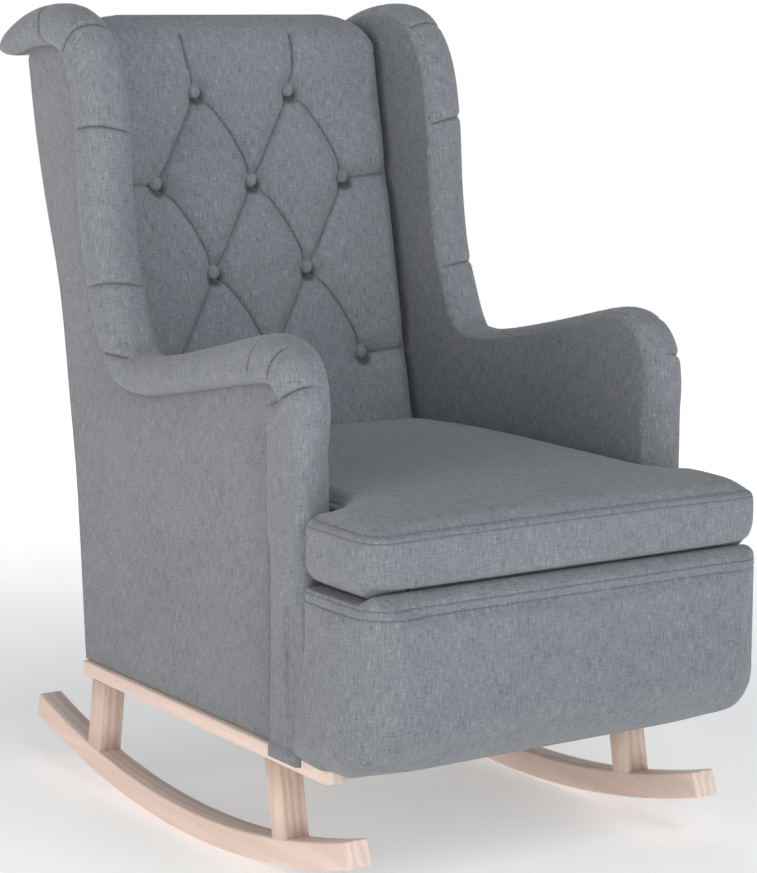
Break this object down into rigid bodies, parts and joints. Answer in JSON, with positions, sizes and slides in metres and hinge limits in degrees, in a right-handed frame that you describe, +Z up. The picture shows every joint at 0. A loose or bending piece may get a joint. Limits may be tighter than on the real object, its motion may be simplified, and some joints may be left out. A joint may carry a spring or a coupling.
{
  "type": "rocking chair",
  "caption": "Wing-back rocking chair with padded arms, a button-tufted back, a loose T-shaped seat cushion and timber side frames on curved runners.",
  "frame": {"origin": "on the floor, at the middle of the chair's length and width", "axes": "+Z up, the chair faces -Y, +X to the sitter's left"},
  "size_m": [0.596, 0.9201, 1.0534],
  "materials": {
    "rubberwood": "satin",
    "frame_timber": "matte",
    "plywood": "matte",
    "steel": "satin",
    "zinc": "satin",
    "webbing": "matte",
    "deck_cloth": "matte",
    "dust_cloth": "matte",
    "twine": "matte",
    "upholstery": "matte"
  },
  "bodies": {
    "chair": {"upper_rail_left": "rubberwood", "upper_rail_right": "rubberwood", "front_leg_left": "rubberwood", "front_leg_right": "rubberwood", "rear_leg_left": "rubberwood", "rear_leg_right": "rubberwood", "runner_left": "rubberwood", "runner_right": "rubberwood", "leg_dowels": "rubberwood", "base_bolts": "steel", "insert_nuts": "zinc", "sill_left": "frame_timber", "sill_right": "frame_timber", "cross_rails": "frame_timber", "side_panel_left": "plywood", "side_panel_right": "plywood", "back_post_left": "frame_timber", "back_post_right": "frame_timber", "seat_rail_left": "frame_timber", "seat_rail_right": "frame_timber", "front_rail": "frame_timber", "front_box_side_left": "frame_timber", "front_box_side_right": "frame_timber", "rear_rail": "frame_timber", "lumbar_rail": "frame_timber", "crest_rail": "frame_timber", "corner_blocks": "frame_timber", "frame_screws": "steel", "seat_webbing": "webbing", "back_webbing": "webbing", "seat_deck": "deck_cloth", "dust_cover": "dust_cloth", "back_cushion": "upholstery", "tuft_buttons": "upholstery", "button_twine": "twine", "outside_back": "upholstery", "outside_cover_left": "upholstery", "outside_cover_right": "upholstery", "inside_arm_left": "upholstery", "inside_arm_right": "upholstery", "inside_wing_left": "upholstery", "inside_wing_right": "upholstery", "arm_roll_left": "upholstery", "arm_roll_right": "upholstery", "wing_roll_left": "upholstery", "wing_roll_right": "upholstery", "arm_front_left": "upholstery", "arm_front_right": "upholstery", "apron": "upholstery"},
    "cushion": {"seat_cushion": "upholstery"}
  },
  "joints": [
    {"name": "cushion_lift", "type": "slide", "parent": "chair", "child": "cushion", "axis": [0, 0, 1], "range_m": [0, 0.35]}
  ]
}
